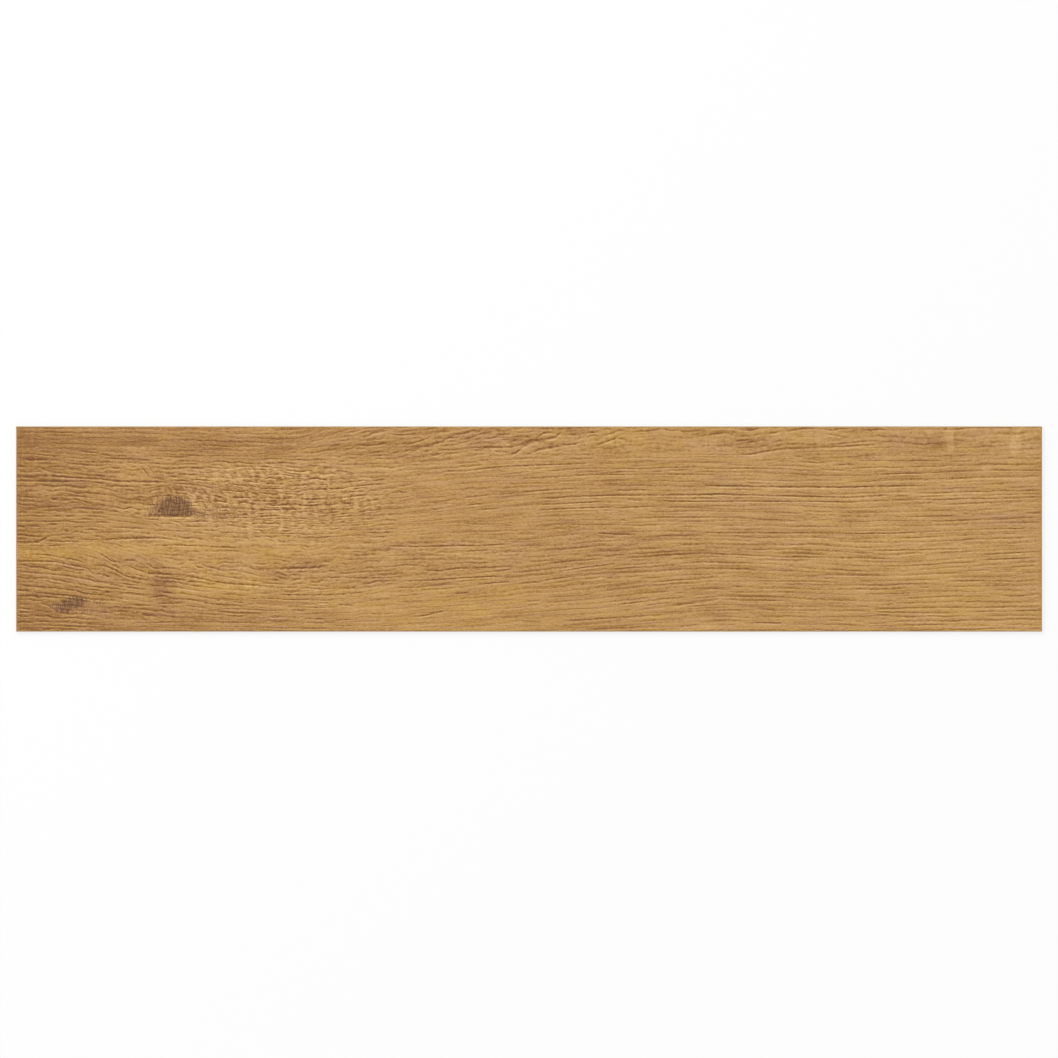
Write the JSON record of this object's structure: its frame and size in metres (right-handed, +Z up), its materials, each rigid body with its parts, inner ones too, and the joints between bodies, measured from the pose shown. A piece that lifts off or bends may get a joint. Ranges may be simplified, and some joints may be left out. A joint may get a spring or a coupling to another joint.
{
  "type": "herringbone vinyl plank",
  "caption": "Thin rectangular vinyl floor plank with a printed oak decor face and a fine bevel round it, laid flat with its ends butted to its neighbours' sides.",
  "frame": {"origin": "middle of the back face, on the floor that the plank lies on", "axes": "+X along the plank and its printed grain, +Y across it, +Z up out of the decor face"},
  "size_m": [0.6, 0.12, 0.0025],
  "materials": {
    "vinyl": "matte"
  },
  "bodies": {
    "root": {"plank": "vinyl"}
  },
  "joints": []
}
